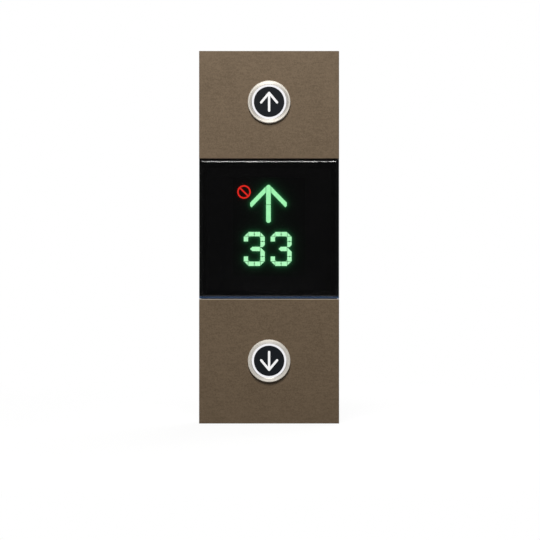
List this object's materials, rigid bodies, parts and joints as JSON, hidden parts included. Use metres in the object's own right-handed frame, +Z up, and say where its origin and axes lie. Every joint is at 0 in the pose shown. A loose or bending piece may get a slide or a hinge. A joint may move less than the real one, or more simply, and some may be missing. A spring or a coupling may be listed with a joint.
{
  "type": "elevator call button panel",
  "caption": "Slim landing call panel with lit up and down push buttons, brown faceplates and a dark window over a green floor display.",
  "frame": {"origin": "middle of the wall base's back face, on the wall", "axes": "+Z up the wall, +Y into the wall, so the front faces -Y, +X to the right as seen from the front"},
  "size_m": [0.13, 0.0269, 0.346],
  "materials": {
    "plate_paint": "satin bronze-brown powder coat with a fine speckle",
    "tinted_window": "dark tinted acrylic, polished",
    "foam_tape": "black foam tape",
    "black_moulding": "black moulded plastic with a fine grain",
    "zinc_sheet": "zinc-plated sheet steel",
    "grommet_rubber": "black rubber",
    "screw_steel": "zinc-plated steel",
    "bezel_steel": "stainless steel, brushed round and round",
    "seal_rubber": "black rubber",
    "nut_metal": "nickel-plated",
    "halo_light": "milky light guide, lit white",
    "arrow_light": "milky insert, lit white",
    "cap_black": "satin black plastic",
    "milky_plastic": "milky polycarbonate",
    "spring_wire": "spring wire",
    "green_light": "clear filling, lit green",
    "red_light": "clear filling, lit red",
    "dark_filling": "clear filling, not lit",
    "mask_black": "black printed mask",
    "white_block": "white reflecting plastic",
    "circuit_board": "green solder mask over fibreglass",
    "lamp_chip": "small light chip with yellow filling",
    "chip_black": "black chip case",
    "capacitor_can": "aluminium can",
    "terminal_green": "green terminal block",
    "header_cream": "cream header",
    "plunger_red": "red plunger"
  },
  "bodies": {
    "panel": {"wall_base": "zinc_sheet", "cable_grommet": "grommet_rubber", "housing": "black_moulding", "locking_screws": "screw_steel", "upper_faceplate": "plate_paint", "lower_faceplate": "plate_paint", "faceplate_nuts": "screw_steel", "window": "tinted_window", "window_tape": "foam_tape", "display_mask": "mask_black", "light_block": "white_block", "lit_arrow": "green_light", "tens_digit": "green_light", "units_digit": "green_light", "unlit_segments": "dark_filling", "no_entry_sign": "red_light", "display_board": "circuit_board", "display_lamps": "lamp_chip", "main_chip": "chip_black", "driver_chips": "chip_black", "capacitors": "capacitor_can", "landing_terminals": "terminal_green", "button_headers": "header_cream", "display_board_screws": "screw_steel", "up_bezel": "bezel_steel", "up_seal": "seal_rubber", "up_ring_nut": "nut_metal", "up_halo": "halo_light", "up_barrel": "black_moulding", "up_spring": "spring_wire", "up_board": "circuit_board", "up_lamps": "lamp_chip", "up_switch": "chip_black", "up_header": "header_cream", "up_board_screws": "screw_steel", "down_bezel": "bezel_steel", "down_seal": "seal_rubber", "down_ring_nut": "nut_metal", "down_halo": "halo_light", "down_barrel": "black_moulding", "down_spring": "spring_wire", "down_board": "circuit_board", "down_lamps": "lamp_chip", "down_switch": "chip_black", "down_header": "header_cream", "down_board_screws": "screw_steel"},
    "up_button": {"up_cap": "cap_black", "up_cap_arrow": "arrow_light", "up_carrier": "milky_plastic"},
    "up_switch_plunger": {"up_plunger": "plunger_red"},
    "down_button": {"down_cap": "cap_black", "down_cap_arrow": "arrow_light", "down_carrier": "milky_plastic"},
    "down_switch_plunger": {"down_plunger": "plunger_red"}
  },
  "joints": [
    {"name": "up_button_press", "type": "slide", "parent": "panel", "child": "up_button", "axis": [0, 1, 0], "range_m": [0, 0.0015], "stiffness_N_per_m": 900, "springref_m": -0.002, "deforming": ["up_spring"]},
    {"name": "up_plunger_press", "type": "slide", "parent": "panel", "child": "up_switch_plunger", "axis": [0, 1, 0], "range_m": [0, 0.0015]},
    {"name": "down_button_press", "type": "slide", "parent": "panel", "child": "down_button", "axis": [0, 1, 0], "range_m": [0, 0.0015], "stiffness_N_per_m": 900, "springref_m": -0.002, "deforming": ["down_spring"]},
    {"name": "down_plunger_press", "type": "slide", "parent": "panel", "child": "down_switch_plunger", "axis": [0, 1, 0], "range_m": [0, 0.0015]}
  ],
  "couplings": [
    {"joint": "up_plunger_press", "follows": "up_button_press", "ratio": 1},
    {"joint": "down_plunger_press", "follows": "down_button_press", "ratio": 1}
  ]
}
